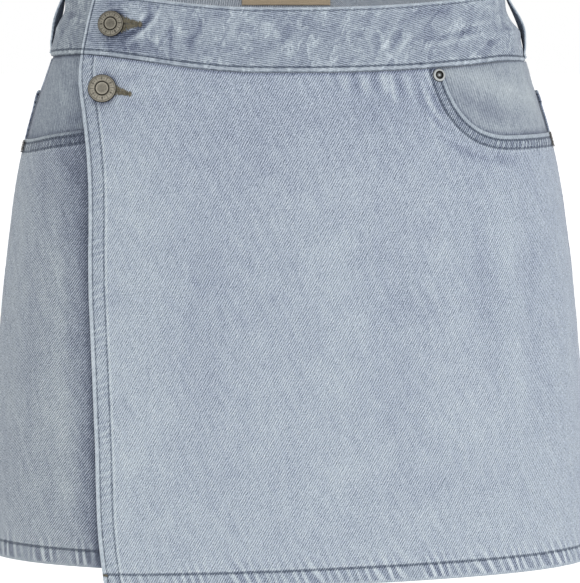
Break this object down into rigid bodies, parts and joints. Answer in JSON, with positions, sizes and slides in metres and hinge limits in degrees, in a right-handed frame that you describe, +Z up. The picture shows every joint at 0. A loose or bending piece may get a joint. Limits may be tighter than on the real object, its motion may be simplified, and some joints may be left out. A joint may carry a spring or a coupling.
{
  "type": "wrap-front denim skort",
  "caption": "Short denim skort: wide shorts with a flat skirt panel that wraps across the front and buttons at one side of the waist, standing hollow as when worn.",
  "frame": {"origin": "centre of the waistband's ring, halfway up the band at the side seams", "axes": "+X to the wearer's left, -Y to the front, +Z up"},
  "size_m": [0.4085, 0.2426, 0.3925],
  "materials": {
    "denim": "washed light-blue twill, matt",
    "antique_metal": "antique brass, dull",
    "label_tan": "matt tan, bare"
  },
  "bodies": {
    "root": {"front_wrap": "denim", "front_leg_right": "denim", "front_leg_left": "denim", "back_leg_right": "denim", "back_leg_left": "denim", "yoke_right": "denim", "yoke_left": "denim", "pocket_facing_right": "denim", "pocket_facing_left": "denim", "waistband_over": "denim", "waistband_back": "denim", "waistband_under_right": "denim", "waistband_under_left": "denim", "belt_loop_right": "denim", "belt_loop_left": "denim", "button_waist": "antique_metal", "button_lower": "antique_metal", "rivet": "antique_metal", "label": "label_tan"}
  },
  "joints": []
}
